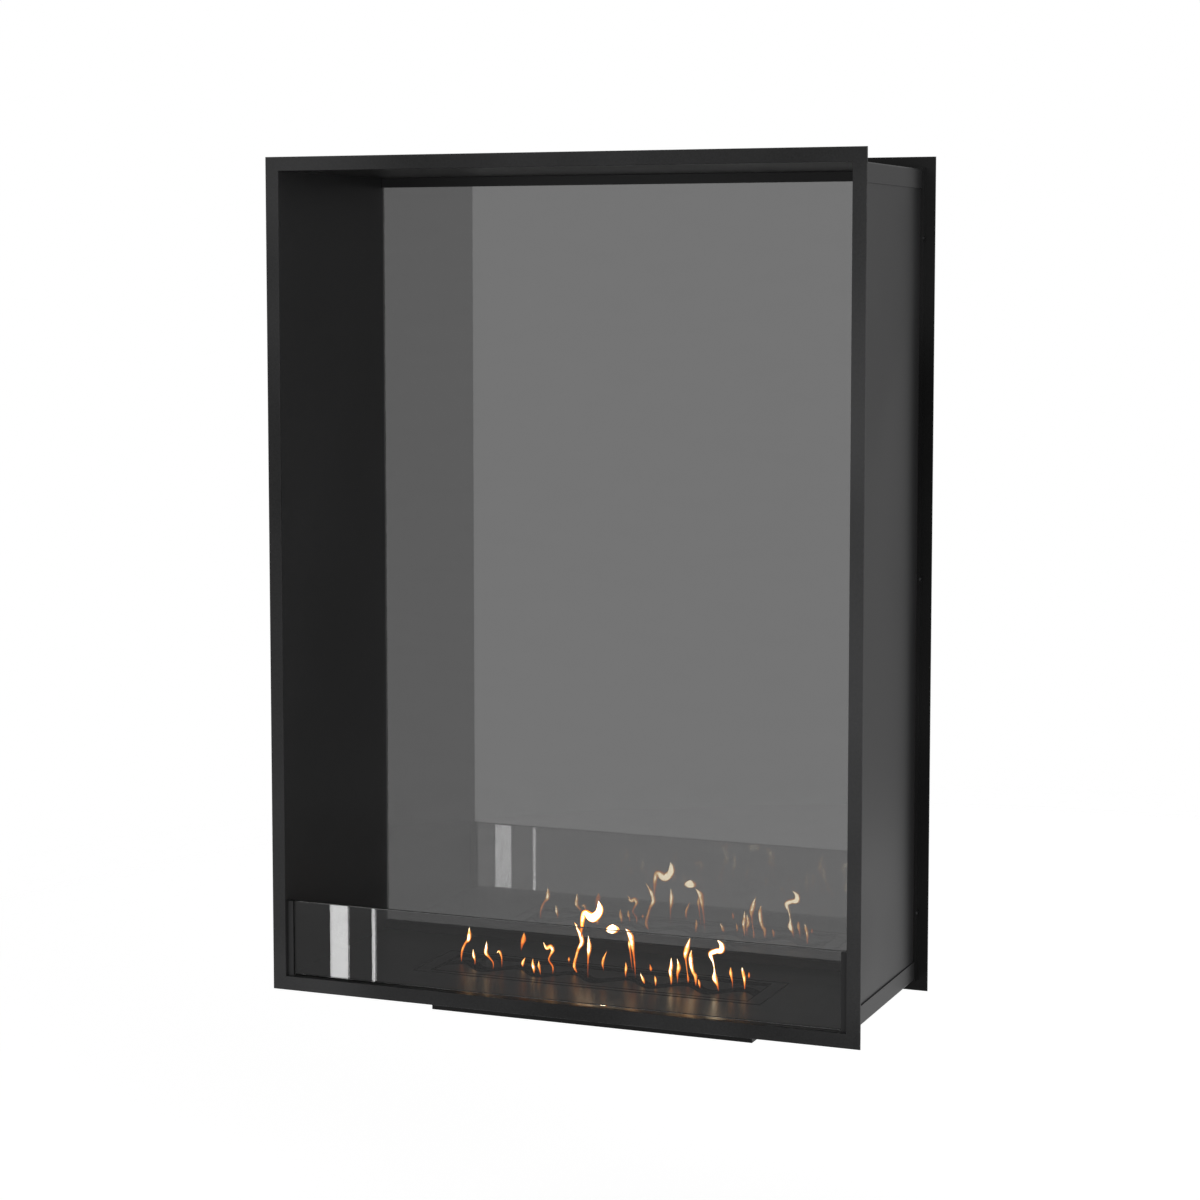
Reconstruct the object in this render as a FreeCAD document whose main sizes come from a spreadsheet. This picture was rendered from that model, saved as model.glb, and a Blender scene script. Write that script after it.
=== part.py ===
"""Built-in double-sided ethanol fireplace, millimetres.

X runs across the opening, Y from the front room to the rear room and Z up. The origin lies on the
front wall face, at the middle of the bottom edge of the wall opening that the casing fills.
"""
import FreeCAD, Part
import math
import os
import Sketcher

V = FreeCAD.Vector
doc = FreeCAD.newDocument("fireplace")

# Driving dimensions
SIZES = [
    ("overall_width", 650.0, "across the flange frames"),
    ("overall_height", 880.0, "of the flange frames"),
    ("overall_depth", 250.0, "from flange face to flange face"),
    ("flange_overhang", 13.0, "of a flange beyond the casing"),
    ("flange_sheet", 2.0, "thickness of the flange frames"),
    ("return_leg", 10.0, "length of a flange frame's leg along the casing"),
    ("flange_edge_break", 0.4, "rounding of a flange's face edges"),
    ("casing_sheet", 1.5, "thickness of the casing panels"),
    ("lip_height", 20.0, "of the lips that hold the side panels"),
    ("lip_clearance", 0.5, "between a lip's end and a return leg"),
    ("bend_radius", 2.0, "outside radius of the lip bends"),
    ("pane_thickness", 4.0, "of the rear glass"),
    ("pane_side_clearance", 1.5, "between the rear glass and a side panel"),
    ("glass_arris", 0.5, "chamfer on the edges of both glasses"),
    ("rail_height", 10.0, "of the channels round the rear glass"),
    ("rail_sheet", 1.0, "thickness of those channels"),
    ("rail_setback", 0.5, "of those channels from the rear flange's face"),
    ("rail_end_clearance", 0.5, "between a channel's end and a side panel"),
    ("seal_thickness", 1.0, "of the seal between channel and glass"),
    ("rail_rivet_inset", 40.0, "of the last rivet from the end of a channel"),
    ("screen_thickness", 4.0, "of the low front glass"),
    ("screen_height", 79.0, "of the low front glass"),
    ("screen_end_clearance", 1.0, "between the low glass and a holder's web"),
    ("holder_setback", 3.0, "of the holders from the front wall face"),
    ("holder_width", 7.0, "of a holder across the opening"),
    ("holder_sheet", 1.0, "thickness of a holder"),
    ("holder_clearance", 0.5, "between the low glass and a holder's leg"),
    ("holder_rivet_inset", 16.0, "of a rivet from either end of a holder"),
    ("rest_height", 1.7, "of the soft rests under the low glass"),
    ("rivet_shank", 3.0, "diameter"),
    ("rivet_head", 4.6, "diameter"),
    ("rivet_head_height", 0.7, "of a flat rivet head"),
    ("hole_clearance", 0.2, "of a hole over the diameter of what goes through it"),
    ("screw_shank", 3.0, "diameter of a flange screw"),
    ("screw_head", 5.7, "diameter of a flange screw's head"),
    ("screw_head_height", 1.7, "of a flange screw"),
    ("screw_socket", 2.0, "across the flats of the hexagon socket"),
    ("screw_inset", 70.0, "of the last flange screw from floor and ceiling"),
    ("collar_length", 392.0, "of the burner collar"),
    ("collar_width", 98.0, "of the burner collar"),
    ("collar_gap", 1.0, "between the collar and the floor round it"),
    ("opening_length", 358.0, "of the collar's opening"),
    ("opening_width", 74.0, "of the collar's opening"),
    ("seat_bearing", 3.0, "width of the ledge that carries the collar"),
    ("seat_margin", 10.0, "of the ledge frame beyond the floor cut-out"),
    ("seat_clearance", 1.0, "between the ledge frame and the tank's rim"),
    ("plate_sheet", 1.5, "thickness of the flame plate, spacers and ledge frame"),
    ("spacer_setback", 1.0, "of a spacer behind the end of the collar's opening"),
    ("snuffer_clearance", 0.3, "above and at each end of the sliding plate"),
    ("wave_pitch", 64.0, "length of one wave of the flame gap"),
    ("wave_height", 12.0, "of a crest from the middle of the gap"),
    ("flame_gap", 8.0, "between the two wavy edges, front to rear"),
    ("hook_hole", 6.0, "diameter of the holes for the hook that draws the plate"),
    ("hook_spacing", 296.0, "between those holes"),
    ("hook_offset", 28.0, "of those holes behind the middle of the burner"),
    ("tank_length", 364.0, "outside"),
    ("tank_width", 66.0, "outside"),
    ("tank_drop", 45.5, "from the floor to the tank's underside"),
    ("tank_sheet", 1.5, "thickness of the tank"),
    ("fibre_height", 26.0, "of the absorbent block"),
    ("fibre_clearance", 1.0, "round the absorbent block"),
    ("cover_sheet", 1.0, "thickness of the slotted cover over the block"),
    ("cover_slot_width", 6.0, "of a slot in that cover"),
    ("cover_slot_margin", 8.0, "from the slots to the cover's long edges"),
    ("cover_slot_pitch", 14.0, "from slot to slot"),
]
sheet = doc.addObject("Spreadsheet::Sheet", "Sizes")
for row, (alias, number, note) in enumerate(SIZES, start=1):
    sheet.set(f"A{row}", str(number))
    sheet.setAlias(f"A{row}", alias)
    sheet.set(f"B{row}", note)
doc.recompute()

# Levels and widths that several pieces share, as expressions of the driving dimensions
wall_out = "(Sizes.overall_width / 2 - Sizes.flange_overhang)"
wall_in = f"({wall_out} - Sizes.casing_sheet)"
casing_depth = "(Sizes.overall_depth - 2 * Sizes.flange_sheet)"
pan_under = "Sizes.flange_sheet"
floor_top = f"({pan_under} + Sizes.casing_sheet)"
flange_low = f"({pan_under} - Sizes.flange_overhang)"
flange_high = f"({flange_low} + Sizes.overall_height)"
cover_top = f"({flange_high} - Sizes.flange_overhang)"
ceiling = f"({cover_top} - Sizes.casing_sheet)"
middle = f"({casing_depth} / 2)"

pane_slot = "(Sizes.pane_thickness + 2 * Sizes.seal_thickness)"
rail_rear = f"({casing_depth} + Sizes.flange_sheet - Sizes.rail_setback)"
rail_front = f"({rail_rear} - {pane_slot} - 2 * Sizes.rail_sheet)"
rail_half = f"({wall_in} - Sizes.rail_end_clearance)"
rail_mid = f"(({rail_front} + {rail_rear}) / 2)"

holder_slot = "(Sizes.screen_thickness + 2 * Sizes.holder_clearance)"
holder_rear = f"(Sizes.holder_setback + {holder_slot} + 2 * Sizes.holder_sheet)"
holder_mid = f"((Sizes.holder_setback + {holder_rear}) / 2)"
holder_height = "(Sizes.rest_height + Sizes.screen_height)"

plate_under = f"({pan_under} - Sizes.plate_sheet)"
rim_half_length = "(Sizes.collar_length / 2 - Sizes.seat_bearing - Sizes.seat_clearance)"
rim_half_width = "(Sizes.collar_width / 2 - Sizes.seat_bearing - Sizes.seat_clearance)"
spacer_inner = "(Sizes.opening_length / 2 + Sizes.spacer_setback)"
tank_floor = f"({floor_top} - Sizes.tank_drop + Sizes.tank_sheet)"
fibre_half_length = "(Sizes.tank_length / 2 - Sizes.tank_sheet - Sizes.fibre_clearance)"
fibre_half_width = "(Sizes.tank_width / 2 - Sizes.tank_sheet - Sizes.fibre_clearance)"

rivet_hole = "(Sizes.rivet_shank + Sizes.hole_clearance)"
screw_hole = "(Sizes.screw_shank + Sizes.hole_clearance)"
screw_y = f"({casing_depth} - Sizes.return_leg / 2)"
screw_low = f"({floor_top} + Sizes.screw_inset)"
screw_high = f"({ceiling} - Sizes.screw_inset)"
SCREW_LEVELS = [screw_low, f"(({screw_low} + {screw_high}) / 2)", screw_high]
HOLDER_RIVET_LEVELS = [
    f"({floor_top} + Sizes.holder_rivet_inset)",
    f"({floor_top} + {holder_height} - Sizes.holder_rivet_inset)",
]
RAIL_RIVETS = [f"({part} * ({rail_half} - Sizes.rail_rivet_inset))" for part in ("-1", "-1/3", "1/3", "1")]
SIDES = [("left", "-1"), ("right", "1")]

sub_parts = []


def number(expression):
    """The present value of an expression of the sheet's sizes."""
    return float(sheet.evalExpression(expression))


def new_body(label):
    body = doc.addObject("PartDesign::Body", label)
    body.Label = label
    sub_parts.append(body)
    return body


def new_sketch(body, role, level):
    """A sketch on one of the body's origin planes, moved to a level along +X, +Y or +Z."""
    sketch = body.newObject("Sketcher::SketchObject", body.Label + "_outline")
    plane = next(feature for feature in body.Origin.OriginFeatures if feature.Role == role)
    sketch.AttachmentSupport = [(plane, "")]
    sketch.MapMode = "FlatFace"
    sign = "-" if role == "XZ_Plane" else ""
    sketch.setExpression(".AttachmentOffset.Base.z", f"{sign}({level})")
    return sketch


def bind(sketch, kind, geometry, point, expression):
    """Ties one coordinate of a point, measured from the sketch's origin, to an expression."""
    index = sketch.addConstraint(Sketcher.Constraint(kind, -1, 1, geometry, point, number(expression)))
    sketch.setExpression(f"Constraints[{index}]", expression)


def draw_outline(sketch, corners):
    """A closed outline of level and upright edges through corners, each a pair of expressions."""
    first = sketch.GeometryCount
    count = len(corners)
    points = [V(number(across), number(along), 0) for across, along in corners]
    for index in range(count):
        sketch.addGeometry(Part.LineSegment(points[index], points[(index + 1) % count]), False)
    for index in range(count):
        follower = first + (index + 1) % count
        sketch.addConstraint(Sketcher.Constraint("Coincident", first + index, 2, follower, 1))
    for index, (across, along) in enumerate(corners):
        upright = across == corners[(index + 1) % count][0]
        sketch.addConstraint(Sketcher.Constraint("Vertical" if upright else "Horizontal", first + index))
        bind(sketch, "DistanceX" if upright else "DistanceY", first + index, 1, across if upright else along)


def draw_rectangle(sketch, left, right, low, high):
    draw_outline(sketch, [(left, low), (right, low), (right, high), (left, high)])


def draw_frame(sketch, half_width, half_height, at="0"):
    """A rectangle about the point (0, at), given by its half sizes."""
    draw_rectangle(
        sketch, f"-{half_width}", half_width, f"{at} - {half_height}", f"{at} + {half_height}"
    )


def draw_circle(sketch, across, along, diameter):
    centre = V(number(across), number(along), 0)
    index = sketch.addGeometry(Part.Circle(centre, V(0, 0, 1), number(diameter) / 2), False)
    size = sketch.addConstraint(Sketcher.Constraint("Diameter", index, number(diameter)))
    sketch.setExpression(f"Constraints[{size}]", diameter)
    bind(sketch, "DistanceX", index, 3, across)
    bind(sketch, "DistanceY", index, 3, along)


def pad(body, sketch, length):
    """Pads a sketch towards +X, +Y or +Z."""
    feature = body.newObject("PartDesign::Pad", body.Label + "_pad")
    feature.Profile = sketch
    feature.Reversed = sketch.AttachmentSupport[0][0].Role == "XZ_Plane"
    feature.setExpression("Length", length)
    doc.recompute()
    return feature


def cut(body, sketch, length):
    """Pockets a sketch towards +X or +Z and makes sure that it removed something."""
    before = body.Shape.Volume
    feature = body.newObject("PartDesign::Pocket", body.Label + "_cut")
    feature.Profile = sketch
    feature.Reversed = True
    feature.setExpression("Length", length)
    doc.recompute()
    if body.Shape.Volume > before - 1e-6:
        raise RuntimeError(f"{body.Label}: a cut removed nothing")
    return feature


def dress(body, kind, base, size_name, size, wanted):
    """Rounds or chamfers the edges of a feature for which wanted(bounding box) is true."""
    names = [f"Edge{i}" for i, edge in enumerate(base.Shape.Edges, start=1) if wanted(edge.BoundBox)]
    feature = body.newObject(kind, body.Label + "_dress")
    feature.Base = (base, names)
    feature.setExpression(size_name, size)
    doc.recompute()


def near(one, other):
    return abs(one - other) < 1e-4


# Base pan and top cover: a flat sheet, with lips that lap the side panels between the return legs
lip_front = "(Sizes.return_leg + Sizes.lip_clearance)"
lip_rear = f"({casing_depth} - {lip_front})"
lip_out = f"({wall_out} + Sizes.casing_sheet)"


def folded_sheet(label, level, lip_level, bend_level):
    body = new_body(label)
    flat = new_sketch(body, "XY_Plane", level)
    draw_rectangle(flat, f"-{wall_out}", wall_out, "0", casing_depth)
    pad(body, flat, "Sizes.casing_sheet")
    lips = new_sketch(body, "XY_Plane", lip_level)
    draw_rectangle(lips, f"-{lip_out}", f"-{wall_out}", lip_front, lip_rear)
    draw_rectangle(lips, wall_out, lip_out, lip_front, lip_rear)
    folded = pad(body, lips, "Sizes.lip_height")
    at, out = number(bend_level), number(lip_out)
    dress(
        body, "PartDesign::Fillet", folded, "Radius", "Sizes.bend_radius",
        lambda box: near(box.ZMin, at) and near(box.ZMax, at)
        and near(box.XMin, box.XMax) and near(abs(box.XMin), out),
    )
    rivets = new_sketch(body, "XY_Plane", level)
    for across in RAIL_RIVETS:
        draw_circle(rivets, across, rail_mid, rivet_hole)
    cut(body, rivets, "Sizes.casing_sheet")
    return body


base_pan = folded_sheet("base_pan", pan_under, pan_under, pan_under)
cut_out = new_sketch(base_pan, "XY_Plane", pan_under)
cut_half_length = "(Sizes.collar_length / 2 + Sizes.collar_gap)"
cut_half_width = "(Sizes.collar_width / 2 + Sizes.collar_gap)"
draw_frame(cut_out, cut_half_length, cut_half_width, middle)
cut(base_pan, cut_out, "Sizes.casing_sheet")
folded_sheet("top_cover", ceiling, f"({cover_top} - Sizes.lip_height)", cover_top)

# Side panels, with the rivet holes of the screen holders and the screw holes of the rear flange
for side, sign in SIDES:
    panel = new_body("side_panel_" + side)
    inner = f"-{wall_out}" if side == "left" else wall_in
    flat = new_sketch(panel, "YZ_Plane", inner)
    draw_rectangle(flat, "0", casing_depth, floor_top, ceiling)
    pad(panel, flat, "Sizes.casing_sheet")
    holes = new_sketch(panel, "YZ_Plane", inner)
    for level in HOLDER_RIVET_LEVELS:
        draw_circle(holes, holder_mid, level, rivet_hole)
    for level in SCREW_LEVELS:
        draw_circle(holes, screw_y, level, screw_hole)
    cut(panel, holes, "Sizes.casing_sheet")

# Flange frames: a flat face flush with the casing's inside, and a leg outside the casing
leg_out = f"({wall_out} + Sizes.flange_sheet)"


def flange_frame(label, face_level, leg_level, outer_level):
    body = new_body(label)
    face = new_sketch(body, "XZ_Plane", face_level)
    draw_rectangle(face, "-Sizes.overall_width / 2", "Sizes.overall_width / 2", flange_low, flange_high)
    draw_rectangle(face, f"-{wall_in}", wall_in, floor_top, ceiling)
    pad(body, face, "Sizes.flange_sheet")
    leg = new_sketch(body, "XZ_Plane", leg_level)
    draw_rectangle(leg, f"-{leg_out}", leg_out, f"{pan_under} - Sizes.flange_sheet",
                   f"{cover_top} + Sizes.flange_sheet")
    draw_rectangle(leg, f"-{wall_out}", wall_out, pan_under, cover_top)
    angle = pad(body, leg, "Sizes.return_leg")
    face_y = number(outer_level)
    dress(
        body, "PartDesign::Fillet", angle, "Radius", "Sizes.flange_edge_break",
        lambda box: near(box.YMin, face_y) and near(box.YMax, face_y),
    )
    return body


flange_frame("front_flange", "-Sizes.flange_sheet", "0", "-Sizes.flange_sheet")
rear_face = f"({casing_depth} + Sizes.flange_sheet)"
rear_flange = flange_frame("rear_flange", casing_depth, f"({casing_depth} - Sizes.return_leg)", rear_face)
screw_holes = new_sketch(rear_flange, "YZ_Plane", f"-{leg_out}")
for level in SCREW_LEVELS:
    draw_circle(screw_holes, screw_y, level, screw_hole)
cut(rear_flange, screw_holes, f"2 * {leg_out}")


# Rear glass: top and bottom channels, a seal in each, and the pane between them
def channel(label, front, rear, level, up, height, wall, hole):
    """A U-section along X. Its web lies at a level and its legs point up or down."""
    body = new_body(label)
    profile = new_sketch(body, "YZ_Plane", f"-{rail_half}")
    web, tip = f"({level} + {up} * {wall})", f"({level} + {up} * {height})"
    front_in, rear_in = f"({front} + {wall})", f"({rear} - {wall})"
    draw_outline(profile, [
        (front, level), (rear, level), (rear, tip), (rear_in, tip),
        (rear_in, web), (front_in, web), (front_in, tip), (front, tip),
    ])
    pad(body, profile, f"2 * {rail_half}")
    rivets = new_sketch(body, "XY_Plane", level if up == "1" else web)
    for across in RAIL_RIVETS:
        draw_circle(rivets, across, rail_mid, hole)
    cut(body, rivets, wall)


seal_front = f"({rail_front} + Sizes.rail_sheet)"
seal_rear = f"({rail_rear} - Sizes.rail_sheet)"
for name, level, up in (("bottom", floor_top, "1"), ("top", ceiling, "-1")):
    channel("rear_rail_" + name, rail_front, rail_rear, level, up,
            "Sizes.rail_height", "Sizes.rail_sheet", rivet_hole)
    channel("rear_seal_" + name, seal_front, seal_rear, f"({level} + {up} * Sizes.rail_sheet)", up,
            "(Sizes.rail_height - Sizes.rail_sheet)", "Sizes.seal_thickness",
            "(Sizes.rivet_head + Sizes.hole_clearance)")


def glass_sheet(label, half_width, front, thickness, low, height):
    """An upright sheet of glass with all its edges chamfered."""
    body = new_body(label)
    plan = new_sketch(body, "XY_Plane", low)
    draw_rectangle(plan, f"-{half_width}", half_width, front, f"{front} + {thickness}")
    block = pad(body, plan, height)
    dress(body, "PartDesign::Chamfer", block, "Size", "Sizes.glass_arris", lambda box: True)


pane_inset = "(Sizes.rail_sheet + Sizes.seal_thickness)"
glass_sheet("rear_glass", f"({wall_in} - Sizes.pane_side_clearance)",
            f"({seal_front} + Sizes.seal_thickness)", "Sizes.pane_thickness",
            f"({floor_top} + {pane_inset})", f"({ceiling} - {floor_top} - 2 * {pane_inset})")

# Low screen: an upright channel riveted to each side panel, and the glass that drops into them
for side, sign in SIDES:
    holder = new_body("screen_holder_" + side)
    plan = new_sketch(holder, "XY_Plane", floor_top)
    wall_face, web = f"({sign} * {wall_in})", f"({sign} * ({wall_in} - Sizes.holder_sheet))"
    tip = f"({sign} * ({wall_in} - Sizes.holder_width))"
    front_in = "(Sizes.holder_setback + Sizes.holder_sheet)"
    rear_in = f"({holder_rear} - Sizes.holder_sheet)"
    draw_outline(plan, [
        (wall_face, "Sizes.holder_setback"), (tip, "Sizes.holder_setback"), (tip, front_in),
        (web, front_in), (web, rear_in), (tip, rear_in), (tip, holder_rear), (wall_face, holder_rear),
    ])
    pad(holder, plan, holder_height)
    rivets = new_sketch(holder, "YZ_Plane", wall_face if side == "left" else web)
    for level in HOLDER_RIVET_LEVELS:
        draw_circle(rivets, holder_mid, level, rivet_hole)
    cut(holder, rivets, "Sizes.holder_sheet")

glass_sheet("screen_glass", f"({wall_in} - Sizes.holder_sheet - Sizes.screen_end_clearance)",
            f"({holder_mid} - Sizes.screen_thickness / 2)", "Sizes.screen_thickness",
            f"({floor_top} + Sizes.rest_height)", "Sizes.screen_height")


def new_box(label, low, size):
    """A block from its lowest corner and its three sizes, all expressions."""
    block = doc.addObject("Part::Box", label)
    for axis, corner in zip("xyz", low):
        block.setExpression(f".Placement.Base.{axis}", corner)
    for name, length in zip(("Length", "Width", "Height"), size):
        block.setExpression(name, length)
    return block


def group(label, members):
    """Separate solids that share one node."""
    compound = doc.addObject("Part::Compound", label)
    compound.Links = members
    compound.Label = label
    sub_parts.append(compound)


rest_length = "(Sizes.holder_width - Sizes.holder_sheet)"
rests = [
    new_box("rest_" + side, (start, f"({holder_mid} - Sizes.screen_thickness / 2)", floor_top),
            (rest_length, "Sizes.screen_thickness", "Sizes.rest_height"))
    for side, start in (("left", f"-({wall_in} - Sizes.holder_sheet)"),
                        ("right", f"({wall_in} - Sizes.holder_width)"))
]
group("screen_rests", rests)

# Fasteners: turned along their own Z axis from the seat of the head, then laid along their hole
DOWN, UP = FreeCAD.Rotation(V(1, 0, 0), 180), FreeCAD.Rotation()
TO_LEFT, TO_RIGHT = FreeCAD.Rotation(V(0, 1, 0), -90), FreeCAD.Rotation(V(0, 1, 0), 90)


def put(shape, rotation, place):
    shape.Placement = FreeCAD.Placement(V(0, 0, 0), rotation)
    for axis, coordinate in zip("xyz", place):
        shape.setExpression(f".Placement.Base.{axis}", coordinate)


def fastener(label, rotation, place, shank, head, head_height, grip):
    """A round head that stands back from its seat, and a shank through what it holds."""
    shank_rod = doc.addObject("Part::Cylinder", label + "_shank")
    shank_rod.setExpression("Radius", f"{shank} / 2")
    shank_rod.setExpression("Height", f"{grip} + {head_height}")
    head_disc = doc.addObject("Part::Cone", label + "_head")
    head_disc.setExpression("Radius1", f"{head} / 2 - {head_height} / 4")
    head_disc.setExpression("Radius2", f"{head} / 2")
    head_disc.setExpression("Height", head_height)
    joined = doc.addObject("Part::Fuse", label)
    joined.Base, joined.Tool = head_disc, shank_rod
    put(joined, rotation, place)
    return joined


rail_rivets = []
for name, level, up, turn in (("bottom", floor_top, "1", DOWN), ("top", ceiling, "-1", UP)):
    seat = f"({level} + {up} * (Sizes.rail_sheet + Sizes.rivet_head_height))"
    for index, across in enumerate(RAIL_RIVETS):
        rail_rivets.append(fastener(
            f"rail_rivet_{name}_{index}", turn, (across, rail_mid, seat), "Sizes.rivet_shank",
            "Sizes.rivet_head", "Sizes.rivet_head_height", "(Sizes.rail_sheet + Sizes.casing_sheet)"))
group("rear_rail_rivets", rail_rivets)

holder_rivets = []
flange_screws = []
for side, sign in SIDES:
    outwards, inwards = (TO_LEFT, TO_RIGHT) if side == "left" else (TO_RIGHT, TO_LEFT)
    head_top = f"({sign} * ({wall_in} - Sizes.holder_sheet - Sizes.rivet_head_height))"
    for index, level in enumerate(HOLDER_RIVET_LEVELS):
        holder_rivets.append(fastener(
            f"holder_rivet_{side}_{index}", outwards, (head_top, holder_mid, level), "Sizes.rivet_shank",
            "Sizes.rivet_head", "Sizes.rivet_head_height", "(Sizes.holder_sheet + Sizes.casing_sheet)"))
    head_top = f"({sign} * ({leg_out} + Sizes.screw_head_height))"
    for index, level in enumerate(SCREW_LEVELS):
        screw = fastener(
            f"flange_screw_{side}_{index}", inwards, (head_top, screw_y, level), "Sizes.screw_shank",
            "Sizes.screw_head", "Sizes.screw_head_height", "(Sizes.flange_sheet + Sizes.casing_sheet)")
        socket = doc.addObject("Part::Prism", f"socket_{side}_{index}")
        socket.setExpression("Circumradius", "Sizes.screw_socket / sqrt(3)")
        socket.setExpression("Height", "Sizes.screw_head_height / 2")
        put(socket, inwards, (head_top, screw_y, level))
        hollow = doc.addObject("Part::Cut", f"socket_screw_{side}_{index}")
        hollow.Base, hollow.Tool = screw, socket
        flange_screws.append(hollow)
group("screen_holder_rivets", holder_rivets)
group("rear_flange_screws", flange_screws)

# Burner: a ledge under the floor carries the collar, and the tank hangs from the collar
seat_frame = new_body("burner_seat_frame")
ring = new_sketch(seat_frame, "XY_Plane", plate_under)
draw_frame(ring, f"({cut_half_length} + Sizes.seat_margin)", f"({cut_half_width} + Sizes.seat_margin)", middle)
draw_frame(ring, "(Sizes.collar_length / 2 - Sizes.seat_bearing)",
           "(Sizes.collar_width / 2 - Sizes.seat_bearing)", middle)
pad(seat_frame, ring, "Sizes.plate_sheet")

collar = new_body("burner_collar")
ring = new_sketch(collar, "XY_Plane", pan_under)
draw_frame(ring, "(Sizes.collar_length / 2)", "(Sizes.collar_width / 2)", middle)
draw_frame(ring, "(Sizes.opening_length / 2)", "(Sizes.opening_width / 2)", middle)
pad(collar, ring, "Sizes.casing_sheet")

for side, sign in SIDES:
    spacer = new_body("collar_spacer_" + side)
    plan = new_sketch(spacer, "XY_Plane", plate_under)
    low, high = (f"-{rim_half_length}", f"-{spacer_inner}") if side == "left" else (spacer_inner, rim_half_length)
    draw_rectangle(plan, low, high, f"{middle} - {rim_half_width}", f"{middle} + {rim_half_width}")
    pad(spacer, plan, "Sizes.plate_sheet")

tank = new_body("fuel_tank")
box = new_sketch(tank, "XY_Plane", f"({tank_floor} - Sizes.tank_sheet)")
draw_frame(box, "(Sizes.tank_length / 2)", "(Sizes.tank_width / 2)", middle)
pad(tank, box, f"({plate_under} - {tank_floor} + Sizes.tank_sheet)")
rim = new_sketch(tank, "XY_Plane", f"({plate_under} - Sizes.tank_sheet)")
draw_frame(rim, rim_half_length, rim_half_width, middle)
pad(tank, rim, "Sizes.tank_sheet")
hollow = new_sketch(tank, "XY_Plane", tank_floor)
draw_frame(hollow, "(Sizes.tank_length / 2 - Sizes.tank_sheet)",
           "(Sizes.tank_width / 2 - Sizes.tank_sheet)", middle)
cut(tank, hollow, f"({plate_under} - {tank_floor})")

fibre = new_box("fibre_block", (f"-{fibre_half_length}", f"({middle} - {fibre_half_width})", tank_floor),
                (f"2 * {fibre_half_length}", f"2 * {fibre_half_width}", "Sizes.fibre_height"))
sub_parts.append(fibre)

cover = new_body("fibre_cover")
plan = new_sketch(cover, "XY_Plane", f"({tank_floor} + Sizes.fibre_height)")
draw_frame(plan, fibre_half_length, fibre_half_width, middle)
pad(cover, plan, "Sizes.cover_sheet")
slot = new_sketch(cover, "XY_Plane", f"({tank_floor} + Sizes.fibre_height)")
slot_count = int(2 * number(fibre_half_length) / number("Sizes.cover_slot_pitch"))
slot_span = f"({slot_count - 1} * Sizes.cover_slot_pitch)"
draw_rectangle(
    slot, f"-{slot_span} / 2 - Sizes.cover_slot_width / 2", f"-{slot_span} / 2 + Sizes.cover_slot_width / 2",
    f"{middle} - {fibre_half_width} + Sizes.cover_slot_margin",
    f"{middle} + {fibre_half_width} - Sizes.cover_slot_margin",
)
first_slot = cut(cover, slot, "Sizes.cover_sheet")
slot_row = cover.newObject("PartDesign::LinearPattern", "cover_slots")
slot_row.Originals = [first_slot]
slot_row.Direction = (slot, ["H_Axis"])
slot_row.Occurrences = slot_count
slot_row.setExpression("Length", slot_span)
cover.Tip = slot_row


# Flame plates: two halves whose wavy edges face each other across the flame gap
def wavy_plate(label, edge_offset, far_edge, half_length, thickness):
    """A flat plate from a straight far edge to a cosine edge, about the middle of the burner."""
    pitch, height = number("Sizes.wave_pitch"), number("Sizes.wave_height")
    half, offset, far = number(half_length), number(edge_offset), number(far_edge)
    steps = 2 * math.ceil(8 * half / pitch)
    stations = [half * (2 * i / steps - 1) for i in range(steps + 1)]
    wave = [V(x, offset - height * math.cos(2 * math.pi * x / pitch), 0) for x in stations]
    curve = Part.BSplineCurve()
    curve.interpolate(wave)
    near_corner, far_corner = V(-half, far, 0), V(half, far, 0)
    edges = [
        Part.makeLine(near_corner, wave[0]), curve.toShape(),
        Part.makeLine(wave[-1], far_corner), Part.makeLine(far_corner, near_corner),
    ]
    plate = doc.addObject("Part::Feature", label)
    plate.Shape = Part.Face(Part.Wire(edges)).extrude(V(0, 0, number(thickness)))
    plate.Placement = FreeCAD.Placement(V(0, number(middle), number(plate_under)), FreeCAD.Rotation())
    return plate


sub_parts.append(wavy_plate("front_flame_plate", "-Sizes.flame_gap / 2", f"-{rim_half_width}",
                            spacer_inner, "Sizes.plate_sheet"))

snuffer_blank = wavy_plate("snuffer_blank", "Sizes.flame_gap / 2", rim_half_width,
                           f"({spacer_inner} - Sizes.snuffer_clearance)",
                           "(Sizes.plate_sheet - Sizes.snuffer_clearance)")
hook_holes = []
for side, sign in SIDES:
    hole = doc.addObject("Part::Cylinder", "hook_hole_" + side)
    hole.setExpression("Radius", "Sizes.hook_hole / 2")
    hole.setExpression("Height", "Sizes.plate_sheet")
    put(hole, UP, (f"({sign} * Sizes.hook_spacing / 2)", f"({middle} + Sizes.hook_offset)", plate_under))
    hook_holes.append(hole)
both_holes = doc.addObject("Part::Fuse", "hook_holes")
both_holes.Base, both_holes.Tool = hook_holes
snuffer = doc.addObject("Part::Cut", "snuffer_plate")
snuffer.Base, snuffer.Tool = snuffer_blank, both_holes
snuffer.Label = "snuffer_plate"
sub_parts.append(snuffer)

# Check everything before anything is written
doc.recompute()
for thing in doc.Objects:
    if "Invalid" in thing.State or "Error" in thing.State:
        raise RuntimeError(f"{thing.Label} failed: {thing.State}")
for piece in sub_parts:
    if piece.Shape.isNull() or not piece.Shape.isValid():
        raise RuntimeError(f"{piece.Label} has no valid shape")

os.makedirs("parts", exist_ok=True)
for piece in sub_parts:
    piece.Shape.exportStep(f"parts/{piece.Label}.step")
    print(f"{piece.Label}: {len(piece.Shape.Solids)} solid(s), {piece.Shape.Volume / 1000:.2f} cm3")
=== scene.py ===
import math

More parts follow.
